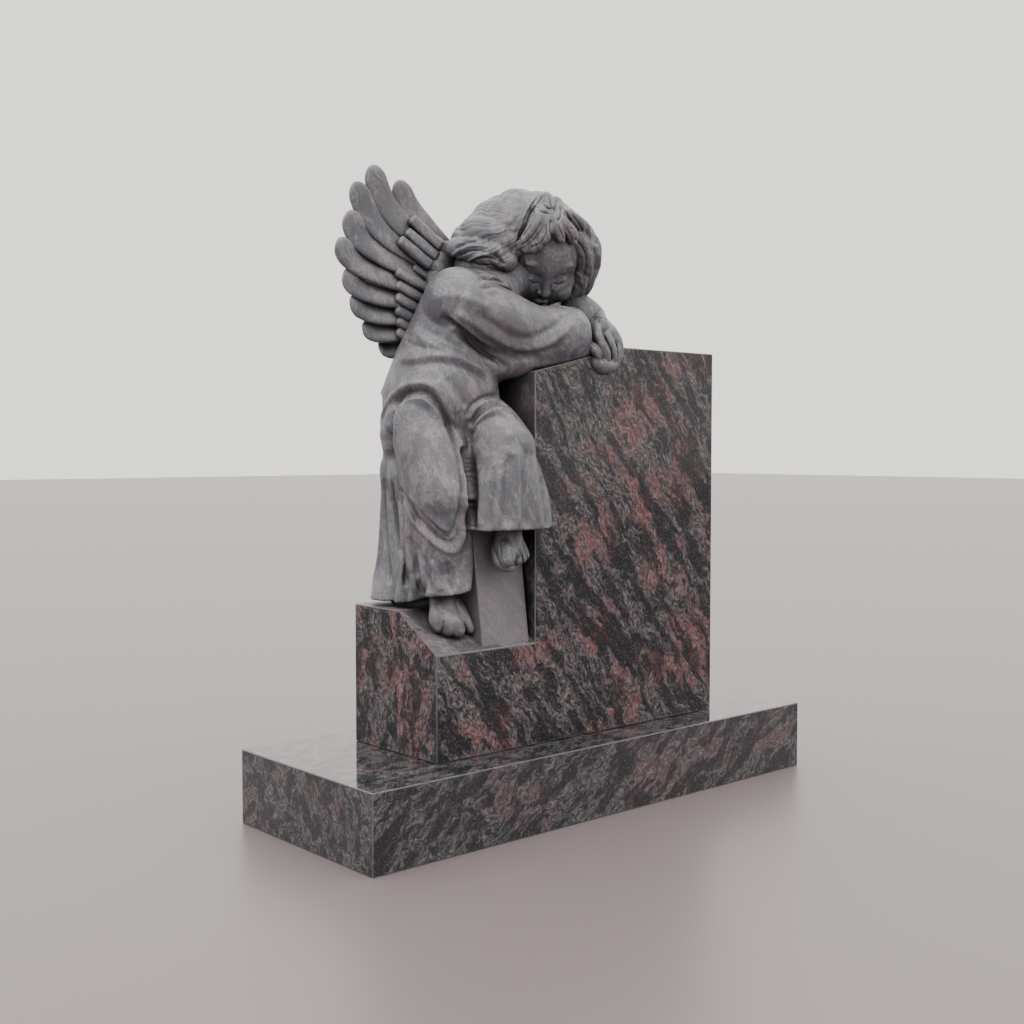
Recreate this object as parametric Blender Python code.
"""Angel headstone: a polished base slab, and on it a stone block with a seated angel carved from it.

Metres, +Z up, +X to the right of the front, +Y to the back. The origin is the centre of the
base slab's underside. The angel's own points are written in thousandths of FIGURE_HEIGHT's 640,
so about in millimetres, from the foot of the wall that the angel leans on: x to the right,
y back from the block's front face, z up from the step's front edge.
"""

import math

import bmesh
import bpy
import numpy as np
from mathutils import Vector
from mathutils.bvhtree import BVHTree

# Base slab
BASE_LENGTH = 0.820
BASE_DEPTH = 0.300
BASE_HEIGHT = 0.100
ARRIS = 0.0015
JOINT_GAP = 0.0003

# Upright block, with the low step at its left end that carries the angel
STONE_WIDTH = 0.535
STONE_THICKNESS = 0.180
STONE_HEIGHT = 0.544
STEP_WIDTH = 0.1685
STEP_BACK_HEIGHT = 0.189
STEP_FRONT_HEIGHT = 0.138
STEP_FLAT_DEPTH = 0.100
REST_LENGTH = 0.167
REST_DROP = 0.040

# Support under the angel's left leg, leaning back from the step's front edge
PILLAR_WIDTH = 0.083
PILLAR_FOOT_SETBACK = 0.005
PILLAR_HEAD_SETBACK = 0.037
PILLAR_HEIGHT = 0.240
GROOVE_WIDTH = 0.005
GROOVE_DEPTH = 0.030

# Angel
FIGURE_HEIGHT = 0.640
FIGURE_UNIT = FIGURE_HEIGHT / 640
VOXEL = 0.0036
SMOOTH_STEPS = 4
FIGURE_TRIANGLES = 8600
SINK = 0.006

# Places that follow from the sizes above
STONE_LEFT = -STONE_WIDTH / 2
STONE_FRONT = -STONE_THICKNESS / 2
STONE_BOTTOM = BASE_HEIGHT + JOINT_GAP
WALL_X = STONE_LEFT + STEP_WIDTH
STEP_FRONT_Z = STONE_BOTTOM + STEP_FRONT_HEIGHT
FIGURE_ORIGIN = np.array([WALL_X, STONE_FRONT, STEP_FRONT_Z])

GRANITE_COLOUR = (0.075, 0.062, 0.064, 1.0)
CARVING_COLOUR = (0.20, 0.175, 0.18, 1.0)


def clear_scene():
    for obj in list(bpy.data.objects):
        bpy.data.objects.remove(obj)


def make_material(name, colour, roughness):
    material = bpy.data.materials.new(name)
    material.use_nodes = True
    shader = material.node_tree.nodes["Principled BSDF"]
    shader.inputs["Base Color"].default_value = colour
    shader.inputs["Roughness"].default_value = roughness
    shader.inputs["Metallic"].default_value = 0.0
    return material


def make_object(name, bm, material):
    mesh = bpy.data.meshes.new(name)
    bm.normal_update()
    bm.to_mesh(mesh)
    bm.free()
    obj = bpy.data.objects.new(name, mesh)
    bpy.context.scene.collection.objects.link(obj)
    mesh.materials.append(material)
    return obj


def hide_helper(obj):
    obj.hide_render = True
    obj.display_type = "WIRE"


def add_arris(obj, width):
    bevel = obj.modifiers.new("Arris", "BEVEL")
    bevel.width = width
    bevel.segments = 1
    bevel.limit_method = "ANGLE"
    bevel.angle_limit = math.radians(30)


def prism(bm, outline, y_front, y_back):
    """A closed prism along Y over an outline of (x, z) points that runs clockwise seen from the front."""
    front = [bm.verts.new((x, y_front, z)) for x, z in outline]
    back = [bm.verts.new((x, y_back, z)) for x, z in outline]
    bm.faces.new(front)
    bm.faces.new(reversed(back))
    for i in range(len(outline)):
        j = (i + 1) % len(outline)
        bm.faces.new((front[j], front[i], back[i], back[j]))
    bmesh.ops.recalc_face_normals(bm, faces=bm.faces)


def make_base(material):
    bm = bmesh.new()
    x, z = BASE_LENGTH / 2, BASE_HEIGHT
    prism(bm, [(-x, 0), (-x, z), (x, z), (x, 0)], -BASE_DEPTH / 2, BASE_DEPTH / 2)
    base = make_object("base_slab", bm, material)
    add_arris(base, ARRIS)
    return base


def make_block(material):
    """The block before carving: an L in front view, with the step's top sloped towards the front."""
    low = STONE_BOTTOM
    right = STONE_LEFT + STONE_WIDTH
    step_top = low + STEP_BACK_HEIGHT
    top = low + STONE_HEIGHT
    outline = [
        (STONE_LEFT, low),
        (STONE_LEFT, step_top),
        (WALL_X, step_top),
        (WALL_X, top - REST_DROP),
        (WALL_X + REST_LENGTH, top),
        (right, top),
        (right, low),
    ]
    bm = bmesh.new()
    prism(bm, outline, STONE_FRONT, STONE_FRONT + STONE_THICKNESS)
    block = make_object("headstone_with_angel", bm, material)
    cut = block.modifiers.new("Step slope", "BOOLEAN")
    cut.operation = "DIFFERENCE"
    cut.object = make_slope_cutter(material)
    add_arris(block, ARRIS)
    return block


def make_slope_cutter(material):
    """A wedge along X that takes the step's top down to its front edge."""
    step_top = STONE_BOTTOM + STEP_BACK_HEIGHT
    corner_y = STONE_FRONT + STONE_THICKNESS - STEP_FLAT_DEPTH
    fall = (step_top - STEP_FRONT_Z) / (corner_y - STONE_FRONT)
    reach = 0.03
    section = [
        (corner_y, step_top),
        (STONE_FRONT - reach, STEP_FRONT_Z - fall * reach),
        (STONE_FRONT - reach, step_top + reach),
        (corner_y, step_top + reach),
    ]
    bm = bmesh.new()
    add_slab(bm, section, STONE_LEFT - reach, WALL_X)
    cutter = make_object("step_slope_cutter", bm, material)
    hide_helper(cutter)
    return cutter


def spot(point):
    """A point of the angel in the object's frame."""
    return FIGURE_ORIGIN + np.asarray(point, float) * FIGURE_UNIT


def view_axes():
    """Rightwards and upwards on the drawing plane, which faces the front left corner of the stone."""
    ahead = np.array([math.sin(VIEW_TURN) * math.cos(VIEW_DIP), math.cos(VIEW_TURN) * math.cos(VIEW_DIP), -math.sin(VIEW_DIP)])
    right = np.array([math.cos(VIEW_TURN), -math.sin(VIEW_TURN), 0.0])
    return right, np.cross(right, ahead)


def view_way(a, b):
    """The way from the viewer's eye through the point (a, b) of the drawing plane."""
    right, up = view_axes()
    return right * a + up * b - VIEW_EYE


def seen(a, b, y):
    """The angel's point that covers (a, b) on the drawing plane and lies y behind the front face."""
    way = view_way(a, b)
    return VIEW_EYE + way * ((y - VIEW_EYE[1]) / way[1])


def smooth_curve(points, per_span):
    """Points on a smooth curve through the given rows, with every column interpolated alike."""
    rows = np.asarray(points, float)
    padded = np.vstack([2 * rows[0] - rows[1], rows, 2 * rows[-1] - rows[-2]])
    curve = []
    for i in range(len(rows) - 1):
        a, b, c, d = padded[i : i + 4]
        for step in range(per_span):
            t = step / per_span
            square = 2 * a - 5 * b + 4 * c - d
            curve.append(0.5 * (2 * b + (c - a) * t + square * t**2 + (3 * b - a - 3 * c + d) * t**3))
    curve.append(rows[-1])
    return np.array(curve)


def add_limb(bm, stations, facing=(0, -1, 0), flatness=1.0, blunt=1.0, sides=16, per_span=6):
    """A round-ended limb through (x, y, z, radius) stations. Its depth along facing is flatness times
    its width, and blunt scales how far the rounded ends stand out."""
    rows = smooth_curve(stations, per_span)
    centres, radii = rows[:, :3], np.maximum(rows[:, 3], 0.5)
    start = (centres[0] - centres[1]) / np.linalg.norm(centres[0] - centres[1])
    end = (centres[-1] - centres[-2]) / np.linalg.norm(centres[-1] - centres[-2])
    lean = [math.radians(a) for a in (75, 50, 25)]
    reach = flatness * blunt
    head = [(centres[0] + start * radii[0] * reach * math.sin(a), radii[0] * math.cos(a)) for a in lean]
    tail = [(centres[-1] + end * radii[-1] * reach * math.sin(a), radii[-1] * math.cos(a)) for a in reversed(lean)]
    rings = head + list(zip(centres, radii)) + tail
    line = np.array([centre for centre, _ in rings])
    tangents = np.gradient(line, axis=0)
    tangents /= np.linalg.norm(tangents, axis=1)[:, None]
    loops = []
    for (centre, radius), tangent in zip(rings, tangents):
        across = np.cross(facing, tangent)
        across /= np.linalg.norm(across)
        out = np.cross(tangent, across)
        turns = [2 * math.pi * k / sides for k in range(sides)]
        loop = [centre + radius * (across * math.cos(t) + out * flatness * math.sin(t)) for t in turns]
        loops.append(loop)
    add_tube(bm, loops)


def add_tube(bm, loops):
    """A closed skin over a row of loops of points, with flat ends."""
    rings = [[bm.verts.new(spot(point)) for point in loop] for loop in loops]
    count = len(rings[0])
    faces = [bm.faces.new(list(reversed(rings[0]))), bm.faces.new(rings[-1])]
    for lower, upper in zip(rings[:-1], rings[1:]):
        for k in range(count):
            j = (k + 1) % count
            faces.append(bm.faces.new((lower[k], lower[j], upper[j], upper[k])))
    bmesh.ops.recalc_face_normals(bm, faces=faces)


def add_ball(bm, centre, radii, facing=(0, -1, 0), up=(0, 0, 1)):
    """An ellipsoid with its three radii along across, facing and up."""
    facing = np.asarray(facing, float) / np.linalg.norm(facing)
    across = np.cross(up, facing)
    across /= np.linalg.norm(across)
    rise = np.cross(facing, across)
    made = bmesh.ops.create_icosphere(bm, subdivisions=3, radius=1.0)
    for vert in made["verts"]:
        x, y, z = vert.co
        point = np.asarray(centre) + across * x * radii[0] + facing * y * radii[1] + rise * z * radii[2]
        vert.co = Vector(spot(point))
    bmesh.ops.recalc_face_normals(bm, faces=list({f for v in made["verts"] for f in v.link_faces}))


def add_drape(bm, levels, hem, per_span=6, per_edge=4):
    """A closed cloth form. Levels are (z, [(x, y), ...]) outlines with matching points, top first, and
    hem gives how far each point of the lowest outline lifts."""
    count = len(hem)
    table = []
    for level, (z, outline) in enumerate(levels):
        lift = hem if level == len(levels) - 1 else [0] * count
        table.append([(x, y, z + rise) for (x, y), rise in zip(outline, lift)])
    columns = [smooth_curve([row[i] for row in table], per_span) for i in range(count)]
    loops = []
    for row in zip(*columns):
        row = list(row)
        ring = smooth_curve([row[-1]] + row + row[:2], per_edge)
        loops.append(list(ring[per_edge : per_edge * (count + 1)]))
    add_tube(bm, loops)


# The drawing plane: it passes through the angel's origin and faces a viewer at VIEW_EYE
VIEW_EYE = np.array([-1174.0, -1281.0, 262.0])
VIEW_TURN = math.radians(41.5)
VIEW_DIP = math.radians(2.77)

# Body, as (x, y, z, radius) stations
TORSO = [(-112, 102, 274, 66), (-90, 98, 321, 76), (-78, 97, 366, 71), (-66, 92, 413, 62), (-47, 88, 451, 58),
         (-6, 86, 478, 44)]
NECK = [(-6, 86, 478, 40), (28, 80, 506, 38), (50, 74, 526, 40)]
RIGHT_ARM = [(-87, 58, 451, 45), (-40, 40, 433, 46), (17, 27, 415, 43), (68, 22, 420, 40), (98, 20, 426, 36)]
LEFT_ARM = [(65, 135, 478, 42), (120, 135, 450, 40), (160, 118, 440, 34), (154, 75, 442, 28), (136, 36, 452, 23)]
RIGHT_THIGH = [(-130, 90, 296, 50), (-133, 60, 246, 48), (-133, 36, 198, 42)]
RIGHT_SHIN = [(-132, 36, 198, 42), (-126, 36, 150, 36), (-128, 48, 100, 30)]
LEFT_THIGH = [(-61, 84, 300, 50), (-50, 42, 288, 44), (-44, 6, 262, 38)]
RIGHT_FOOT = [(-138, 44, 76, 17), (-135, 34, 50, 21), (-127, 24, 33, 24), (-120, 15, 23, 19)]
LEFT_FOOT = [(-50, 2, 170, 19), (-50, -6, 142, 22), (-54, -14, 122, 23), (-56, -17, 112, 18)]

# Plan outlines of the long robe and of the short fall of cloth over the left leg, from the inner
# front corner round by the front, the left side and the back
ROBE = [
    (292, [(-66, 60), (-84, 44), (-112, 38), (-138, 52), (-150, 74), (-156, 92), (-158, 104), (-159, 116), (-157, 130),
           (-150, 144), (-136, 158), (-114, 166), (-88, 160), (-62, 140), (-56, 110), (-58, 84)]),
    (200, [(-84, 44), (-100, 14), (-128, 8), (-154, 40), (-157, 66), (-161, 82), (-158, 96), (-160, 108), (-156, 120),
           (-154, 136), (-146, 154), (-130, 168), (-96, 168), (-74, 150), (-70, 110), (-76, 70)]),
    (130, [(-88, 38), (-102, 8), (-128, 10), (-154, 34), (-147, 58), (-164, 74), (-158, 88), (-166, 102), (-160, 116),
           (-161, 134), (-156, 156), (-135, 170), (-98, 170), (-74, 150), (-72, 110), (-80, 70)]),
    (46, [(-98, 34), (-104, 14), (-131, 22), (-156, 42), (-144, 64), (-166, 78), (-157, 90), (-169, 103), (-160, 116),
          (-169, 132), (-163, 156), (-140, 172), (-100, 171), (-74, 150), (-72, 110), (-82, 70)]),
]
ROBE_HEM = [32, 31, 26, 20, 26, 2, 8, 0, 4, 0, 0, 0, 0, 0, 0, 10]
KNEE_CLOTH = [
    (282, [(-18, 20), (-28, -14), (-48, -26), (-72, -16), (-84, 14), (-80, 46), (-44, 56), (-22, 44)]),
    (240, [(-2, 8), (-14, -24), (-48, -35), (-82, -24), (-94, 4), (-90, 40), (-48, 58), (-12, 42)]),
    (200, [(8, -2), (-8, -30), (-50, -38), (-88, -26), (-102, 2), (-98, 42), (-48, 60), (-4, 40)]),
    (156, [(20, -8), (0, -34), (-50, -40), (-94, -28), (-110, 0), (-104, 44), (-48, 62), (4, 40)]),
]
KNEE_HEM = [10, 4, 0, 0, 0, 6, 10, 12]

# Head, bowed on the forearms; places on it are (to its left, forward, up) from the skull's middle
SKULL_CENTRE = (66, 68, 541)
FACE_WAY = (-0.25, -0.73, -0.64)
SKULL = (60, 64, 68)
HAIR_BACK = [(38, 86, 563, 62), (11, 95, 560, 48), (-10, 101, 552, 36), (-34, 105, 541, 23)]
HAIR_NEAR = [(-44, 4, 12, 26), (-55, -6, -16, 24), (-52, -22, -42, 20)]
HAIR_LEFT = [(26, 0, 52, 18), (54, 2, 32, 18), (70, 10, 10, 20), (75, 14, -14, 19), (74, 20, -38, 16), (62, 30, -58, 10)]

# Locks on the hair cap, as seen: (a, b, radius)
LOCKS = [
    [(14, 585, 6), (8, 571, 10), (2, 555, 11), (-9, 540, 9), (-20, 534, 6)],
    [(10, 578, 6), (16, 563, 8), (18, 550, 8), (9, 538, 7), (-6, 532, 6)],
    [(2, 568, 6), (-8, 555, 9), (-20, 541, 7)],
    [(25, 568, 6), (29, 555, 7), (34, 540, 6)],
    [(34, 568, 7), (42, 558, 9), (50, 548, 9), (51, 541, 6)],
    [(42, 579, 8), (57, 568, 10), (69, 552, 10), (74, 536, 8)],
    [(4, 590, 6), (11, 601, 7), (18, 602, 7), (17, 593, 6)],
    [(19, 586, 6), (26, 597, 7), (31, 594, 7), (34, 586, 6)],
    [(3, 584, 5), (14, 575, 6), (24, 574, 6), (36, 582, 6)],
]
HAIR_CAP = (-5, -12, 10)
HAIR_CAP_RADII = (63, 62, 66)
LOCK_SHELL = (-2, -4, 7)
LOCK_SHELL_RADII = (66, 69, 73)

# Hands on the front edge, as seen: (a, b, depth behind the front face, radius)
FINGERS = [
    [(84, 430, 14, 10), (84, 416, 0, 9), (90, 402, -9, 8), (97, 390, -12, 7), (98, 376, -9, 7)],
    [(92, 430, 12, 10), (95, 415, -2, 9), (101, 400, -10, 8), (105, 386, -12, 7), (105, 372, -9, 7)],
    [(99, 428, 12, 9), (104, 416, -1, 8), (109, 402, -8, 7), (112, 387, -10, 6), (110, 374, -8, 6)],
    [(103, 424, 14, 8), (111, 413, 2, 7), (116, 400, -5, 6), (116, 386, -8, 6), (111, 374, -7, 6)],
]
LOWER_HAND = [(70, 400, 6, 14), (80, 385, -2, 18), (92, 376, -5, 16), (104, 372, -4, 12)]
THUMB = [(70, 405, -4, 8), (80, 397, -10, 9), (87, 387, -11, 8)]

# Raised right wing, as seen: (a, b) of roots, middles and tips of the primaries, then the coverts' tips
WING_ROOTS = [(-121, 528), (-128, 496), (-144, 458), (-163, 410)]
WING_MIDDLES = [(-172, 570), (-192, 584), (-210, 561), (-225, 535), (-231, 507), (-224, 477), (-216, 446),
                (-208, 420), (-194, 400)]
WING_TIPS = [(-184, 626), (-223, 648), (-246, 623), (-255, 582), (-264, 543), (-255, 501), (-247, 465),
             (-232, 427), (-209, 403)]
COVERT_TIPS = [(-167, 561), (-183, 544), (-189, 515), (-189, 485), (-189, 455), (-186, 420)]
SMALL_COVERT_TIPS = [(-136, 547), (-147, 528), (-161, 507), (-169, 480), (-174, 455), (-177, 428)]
FEATHER_COUNT = 9
FEATHER_FACING = (-0.42, -0.9, 0.1)

# Folded left wing, low on the back
FOLDED_ROOTS = [(-6, 150, 470), (-64, 150, 432)]
FOLDED_TIPS = [(-4, 170, 262), (-88, 168, 300)]
FOLDED_COUNT = 6

# Folds and creases, as seen: (half width, height, [(a, b), ...]); a height under 0 is a crease
STROKES = [
    (8, -6, [(-199, 300), (-195, 315), (-182, 332), (-161, 339), (-140, 334),
             (-127, 318), (-115, 294), (-104, 270), (-97, 239), (-95, 204), (-98, 173), (-107, 154)]),
    (6, 5, [(-185, 201), (-172, 177), (-157, 156), (-139, 140), (-121, 131), (-109, 132), (-97, 148), (-92, 175)]),
    (6, -4, [(-182, 215), (-169, 192), (-151, 170), (-133, 154), (-115, 149), (-103, 157)]),
    (4, 4, [(-136, 163), (-121, 144), (-112, 140), (-106, 148)]),
    (6, 5, [(-185, 202), (-175, 159), (-167, 114), (-161, 69)]),
    (6, -8, [(-194, 223), (-194, 175), (-191, 129), (-186, 99), (-179, 75)]),
    (5, 4, [(-205, 219), (-203, 159), (-206, 99), (-212, 65)]),
    (5, -4, [(-160, 129), (-148, 99), (-145, 69)]),
    (5, -4, [(-119, 117), (-112, 99), (-107, 75)]),
    (5, -5, [(-88, 310), (-81, 324), (-66, 334), (-51, 338)]),
    (4, 4, [(-88, 304), (-75, 321), (-58, 330), (-42, 330)]),
    (5, -5, [(-86, 298), (-70, 316), (-51, 322), (-38, 319)]),
    (5, -4, [(-88, 282), (-73, 300), (-55, 309), (-40, 311), (-30, 304)]),
    (7, -4, [(-34, 248), (-40, 207), (-43, 158)]),
    (5, 4, [(-22, 234), (-22, 158)]),
    (5, -4, [(-13, 245), (-10, 158)]),
    (5, 4, [(-4, 239), (-3, 158)]),
    (6, -5, [(5, 223), (8, 158)]),
    (8, -8, [(-125, 436), (-104, 423), (-88, 407), (-66, 391), (-53, 380), (-42, 369)]),
    (6, 1.5, [(-179, 393), (-161, 388), (-144, 392), (-125, 389), (-104, 383), (-82, 372), (-61, 360)]),
    (5, -2, [(-174, 403), (-158, 403), (-146, 402)]),
    (8, 2, [(-157, 443), (-143, 434), (-112, 418), (-81, 392)]),
    (8, 3, [(-88, 450), (-47, 410), (-20, 399), (9, 401), (34, 415), (55, 431)]),
    (8, -2, [(-66, 438), (-34, 418), (-7, 415), (15, 427), (34, 443)]),
    (4, -3, [(-72, 501), (-58, 497), (-46, 490)]),
    (4, -3, [(-76, 491), (-53, 490), (-36, 481)]),
    (4, -3, [(-73, 479), (-47, 479), (-24, 468)]),
    (4, -5, [(0, 598), (-4, 580), (-9, 565), (-21, 552), (-28, 534)]),
]


def curve_at(points, share):
    """The point at a share, 0 to 1, of the way along a row of points."""
    rows = np.asarray(points, float)
    place = share * (len(rows) - 1)
    i = min(int(place), len(rows) - 2)
    return rows[i] + (rows[i + 1] - rows[i]) * (place - i)


def add_feather(bm, points, half_width, half_depth):
    """A flat, round-ended feather along a smooth line of points, root first."""
    line = smooth_curve(points, 6)
    reach = np.linalg.norm(np.diff(line, axis=0), axis=1).cumsum()
    keep = [0] + [i + 1 for i, far in enumerate(reach) if far < reach[-1] - 0.7 * half_width]
    stations = [(*line[i], half_width * (0.8 + 0.2 * i / len(line))) for i in keep]
    shape = {"flatness": half_depth / half_width, "blunt": half_width / half_depth, "sides": 12, "per_span": 1}
    add_limb(bm, stations, facing=FEATHER_FACING, **shape)


def add_raised_wing(bm):
    for i in range(FEATHER_COUNT):
        share = i / (FEATHER_COUNT - 1)
        root, middle, tip = curve_at(WING_ROOTS, share), WING_MIDDLES[i], WING_TIPS[i]
        back = 146 + 14 * share
        add_feather(bm, [seen(*root, back - 18), seen(*middle, back - 2), seen(*tip, back)], 19, 7)
        for row, (tips, ahead, width) in enumerate(((COVERT_TIPS, 9, 13), (SMALL_COVERT_TIPS, 16, 12))):
            end = curve_at(tips, share)
            add_feather(bm, [seen(*root, back - 18 - ahead), seen(*end, back - 4 - ahead)], width, 7)
    add_ball(bm, seen(-118, 478, 128), (40, 20, 66))


def add_folded_wing(bm):
    for i in range(FOLDED_COUNT):
        share = i / (FOLDED_COUNT - 1)
        root, tip = curve_at(FOLDED_ROOTS, share), curve_at(FOLDED_TIPS, share)
        add_feather(bm, [root, (root + tip) / 2 + (0, 6, 0), tip], 12, 7)
        add_feather(bm, [root + (0, 8, 0), root + (tip - root) * 0.45 + (0, 12, 0)], 12, 7)
    add_ball(bm, (-34, 142, 440), (42, 24, 56))


def head_axes():
    """The head's leftwards, forward and upward directions."""
    ahead = np.asarray(FACE_WAY) / np.linalg.norm(FACE_WAY)
    left = np.cross((0, 0, 1), ahead)
    left /= np.linalg.norm(left)
    return left, ahead, np.cross(ahead, left)


def on_head(left, ahead, up):
    axes = head_axes()
    return np.asarray(SKULL_CENTRE, float) + axes[0] * left + axes[1] * ahead + axes[2] * up


def on_hair(a, b):
    """The point just over the hair cap and the brow that the viewer sees at (a, b)."""
    axes = np.array(head_axes())
    radii = np.array(LOCK_SHELL_RADII)
    start = axes @ (VIEW_EYE - on_head(*LOCK_SHELL)) / radii
    way = axes @ view_way(a, b) / radii
    half = start @ way / (way @ way)
    reach = max(half**2 - (start @ start - 1) / (way @ way), 0.0)
    return VIEW_EYE + view_way(a, b) * (-half - math.sqrt(reach))


def add_head_ball(bm, place, radii):
    add_ball(bm, on_head(*place), radii, facing=head_axes()[1])


def add_head_limb(bm, stations, flatness=1.0):
    placed = [(*on_head(*station[:3]), station[3]) for station in stations]
    add_limb(bm, placed, facing=head_axes()[1], flatness=flatness)


def add_head(bm):
    add_head_ball(bm, (0, 0, 0), SKULL)
    add_head_ball(bm, (2, 22, -28), (56, 42, 44))
    add_head_ball(bm, (0, 48, -58), (17, 14, 13))
    add_head_ball(bm, (0, 52, 14), (36, 9, 9))
    for side in (-1, 1):
        add_head_ball(bm, (side * 22, 54, -8), (13, 8, 7))
        add_head_ball(bm, (side * 28, 44, -34), (20, 18, 18))
    add_head_limb(bm, [(0, 61, 2, 6), (0, 67, -14, 6), (0, 73, -28, 8)])
    add_head_ball(bm, (0, 62, -47), (14, 7, 5))
    add_head_ball(bm, HAIR_CAP, HAIR_CAP_RADII)
    add_limb(bm, HAIR_BACK)
    add_head_limb(bm, HAIR_LEFT)
    add_head_limb(bm, HAIR_NEAR)
    for lock in LOCKS:
        add_limb(bm, [(*on_hair(a, b), radius) for a, b, radius in lock], sides=10)


def add_hands(bm):
    for rows in FINGERS + [LOWER_HAND, THUMB]:
        add_limb(bm, [(*seen(a, b, y), radius) for a, b, y, radius in rows], facing=(-0.4, -0.9, 0.1), sides=10)
    add_ball(bm, seen(94, 428, 20), (20, 15, 14))


def add_body(bm):
    for stations in (TORSO, NECK, RIGHT_THIGH, RIGHT_SHIN, LEFT_THIGH):
        add_limb(bm, stations, sides=24)
    add_limb(bm, RIGHT_ARM, sides=24, blunt=0.35)
    add_limb(bm, LEFT_ARM, sides=24, blunt=0.5)
    add_limb(bm, RIGHT_FOOT, facing=(0.1, -0.6, 0.8), flatness=0.66)
    add_limb(bm, LEFT_FOOT, facing=(-0.3, -0.9, 0.3), flatness=0.7)
    add_ball(bm, (-70, 66, 330), (52, 44, 62))
    add_ball(bm, (-44, 58, 392), (40, 36, 36))
    add_ball(bm, (-24, 88, 512), (36, 32, 24))
    add_ball(bm, (-82, 64, 455), (46, 46, 48))
    add_drape(bm, ROBE, ROBE_HEM)
    add_drape(bm, KNEE_CLOTH, KNEE_HEM)


def evaluated_mesh(obj):
    graph = bpy.context.evaluated_depsgraph_get()
    graph.update()
    return bpy.data.meshes.new_from_object(obj.evaluated_get(graph))


def apply_strokes(mesh, strokes):
    """Raises or sinks the surface along each stroke, as a chisel's pass would. A stroke is drawn on
    the drawing plane and lies on whatever surface the viewer sees there."""
    count = len(mesh.vertices)
    places = np.empty(count * 3)
    normals = np.empty(count * 3)
    mesh.vertices.foreach_get("co", places)
    mesh.vertex_normals.foreach_get("vector", normals)
    places, normals = places.reshape(-1, 3), normals.reshape(-1, 3)
    surface = BVHTree.FromPolygons(places.tolist(), [list(face.vertices) for face in mesh.polygons])
    eye = Vector(spot(VIEW_EYE))
    lift = np.zeros(count)
    for half_width, height, drawn in strokes:
        hits = [surface.ray_cast(eye, Vector(view_way(a, b)))[0] for a, b in smooth_curve(drawn, 4)]
        line = np.array([hit for hit in hits if hit])
        near = np.full(count, np.inf)
        for a, b in zip(line[:-1], line[1:]):
            if np.linalg.norm(b - a) > 0.03:
                continue
            along = np.clip(((places - a) @ (b - a)) / ((b - a) @ (b - a)), 0, 1)
            near = np.minimum(near, np.linalg.norm(places - a - along[:, None] * (b - a), axis=1))
        lift += height * FIGURE_UNIT * np.exp(-((near / (half_width * FIGURE_UNIT)) ** 2))
    mesh.vertices.foreach_set("co", (places + normals * lift[:, None]).ravel())
    mesh.update()


def make_figure(material):
    """The carved angel as one closed form, before it is joined to the block."""
    bm = bmesh.new()
    add_body(bm)
    add_head(bm)
    add_hands(bm)
    add_raised_wing(bm)
    add_folded_wing(bm)
    figure = make_object("angel_carving", bm, material)
    remesh = figure.modifiers.new("Fuse", "REMESH")
    remesh.mode = "VOXEL"
    remesh.voxel_size = VOXEL
    smooth = figure.modifiers.new("Soften", "SMOOTH")
    smooth.factor = 0.5
    smooth.iterations = SMOOTH_STEPS
    fused = evaluated_mesh(figure)
    figure.modifiers.clear()
    apply_strokes(fused, STROKES)
    figure.data = fused
    thin = figure.modifiers.new("Facets", "DECIMATE")
    triangles = 2 * len(fused.polygons)
    thin.ratio = min(1.0, FIGURE_TRIANGLES / triangles)
    hide_helper(figure)
    return figure


def make_pillar(material):
    """The plain support that carries the left leg. Its front leans back from the step's edge, and a
    narrow groove parts it from the wall as far as the web behind."""
    low = STEP_FRONT_Z - SINK
    high = low + PILLAR_HEIGHT
    back = STONE_FRONT + STONE_THICKNESS - SINK
    web = STONE_FRONT + PILLAR_HEAD_SETBACK + GROOVE_DEPTH
    foot, top = STONE_FRONT + PILLAR_FOOT_SETBACK, STONE_FRONT + PILLAR_HEAD_SETBACK
    post = [(foot, low), (top, high), (back, high), (back, low)]
    left, right = WALL_X - GROOVE_WIDTH - PILLAR_WIDTH, WALL_X - GROOVE_WIDTH
    bm = bmesh.new()
    add_slab(bm, post, left, right)
    pillar = make_object("leg_support", bm, material)
    hide_helper(pillar)
    bm = bmesh.new()
    add_slab(bm, [(web, low), (web, high), (back, high), (back, low)], right - SINK, WALL_X + SINK)
    web_piece = make_object("leg_support_web", bm, material)
    hide_helper(web_piece)
    return pillar, web_piece


def add_slab(bm, section, x_low, x_high):
    """A closed prism along X over a section of (y, z) points."""
    near = [bm.verts.new((x_low, y, z)) for y, z in section]
    far = [bm.verts.new((x_high, y, z)) for y, z in section]
    bm.faces.new(near)
    bm.faces.new(list(reversed(far)))
    for i in range(len(section)):
        j = (i + 1) % len(section)
        bm.faces.new((near[j], near[i], far[i], far[j]))
    bmesh.ops.recalc_face_normals(bm, faces=bm.faces)


def join(block, *helpers):
    for helper in helpers:
        union = block.modifiers.new("Join " + helper.name, "BOOLEAN")
        union.operation = "UNION"
        union.object = helper


def main():
    clear_scene()
    granite = make_material("polished granite", GRANITE_COLOUR, 0.12)
    carving = make_material("honed granite", CARVING_COLOUR, 0.6)
    make_base(granite)
    block = make_block(granite)
    join(block, *make_pillar(carving), make_figure(carving))


main()
